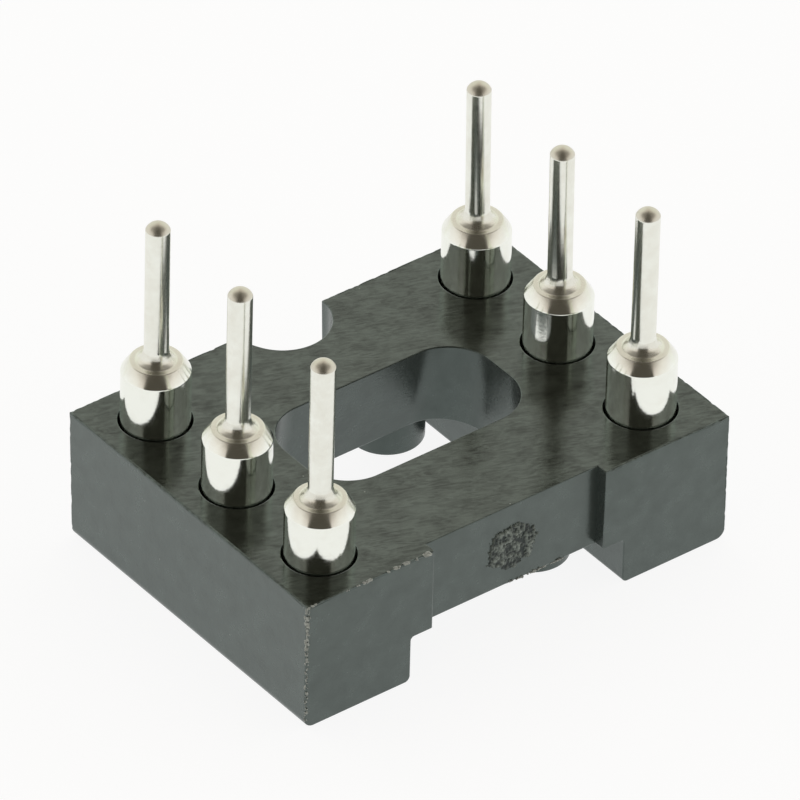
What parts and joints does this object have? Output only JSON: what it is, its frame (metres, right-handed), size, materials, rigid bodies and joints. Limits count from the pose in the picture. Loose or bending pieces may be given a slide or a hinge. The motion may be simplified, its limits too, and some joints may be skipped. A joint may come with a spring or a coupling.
{
  "type": "turned-pin ic socket",
  "caption": "Open-frame dual-in-line ic socket: a black plastic frame with two rows of turned sleeves that end in slim solder tails, and spring clips inside to take the leads.",
  "frame": {"origin": "middle of the pin grid, on the entry face that the socket lies on", "axes": "+Z from the entry face towards the solder tails, +Y along the rows to the notched end, +X across the rows"},
  "size_m": [0.01, 0.0074, 0.0075],
  "materials": {
    "glass_filled_plastic": "moulded black polyester with glass fibre, semi-gloss with fine flow lines",
    "bright_tin": "turned brass with bright tin plating",
    "gold_flash": "drawn copper alloy with thin gold plating"
  },
  "bodies": {
    "root": {"frame": "glass_filled_plastic", "pin_sleeve_1": "bright_tin", "contact_clip_1": "gold_flash", "pin_sleeve_2": "bright_tin", "contact_clip_2": "gold_flash", "pin_sleeve_3": "bright_tin", "contact_clip_3": "gold_flash", "pin_sleeve_4": "bright_tin", "contact_clip_4": "gold_flash", "pin_sleeve_5": "bright_tin", "contact_clip_5": "gold_flash", "pin_sleeve_6": "bright_tin", "contact_clip_6": "gold_flash"}
  },
  "joints": []
}
